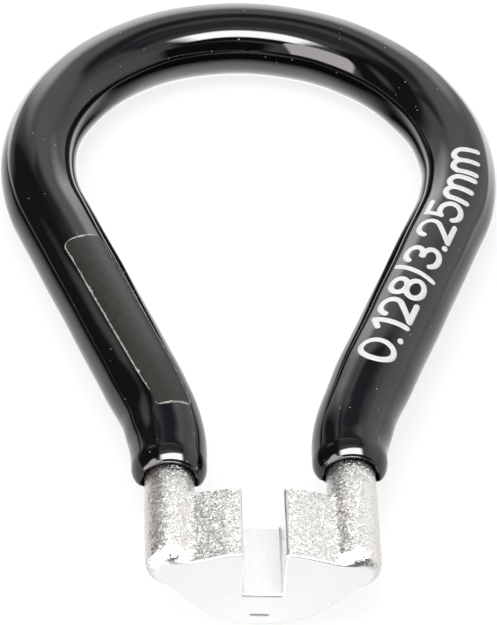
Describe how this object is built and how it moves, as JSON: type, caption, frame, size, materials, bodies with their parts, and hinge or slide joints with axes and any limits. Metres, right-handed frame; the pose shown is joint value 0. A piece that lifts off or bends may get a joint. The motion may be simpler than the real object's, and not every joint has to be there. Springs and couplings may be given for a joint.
{
  "type": "spoke wrench",
  "caption": "Loop-handled bicycle spoke wrench: a cast steel head with a nipple slot open to one side, legs running into a teardrop loop, and a dipped black vinyl handle.",
  "frame": {"origin": "middle of the nipple slot's mouth, in the ground end face of the head, on the plane of the two legs", "axes": "+X to the right across the head, +Y from the head towards the loop, along the nipple, +Z out of the slot's open side"},
  "size_m": [0.0424, 0.0684, 0.0089],
  "materials": {
    "plated_casting": "nickel plate over a grainy as-cast skin, with a ground end face and a smooth slot",
    "dipped_vinyl": "smooth glossy dipped vinyl with faint waves and dust",
    "label_film": "thin satin film, bare, with a pale edge"
  },
  "bodies": {
    "root": {"wrench_body": "plated_casting", "handle_sleeve": "dipped_vinyl", "blank_label": "label_film"}
  },
  "joints": []
}
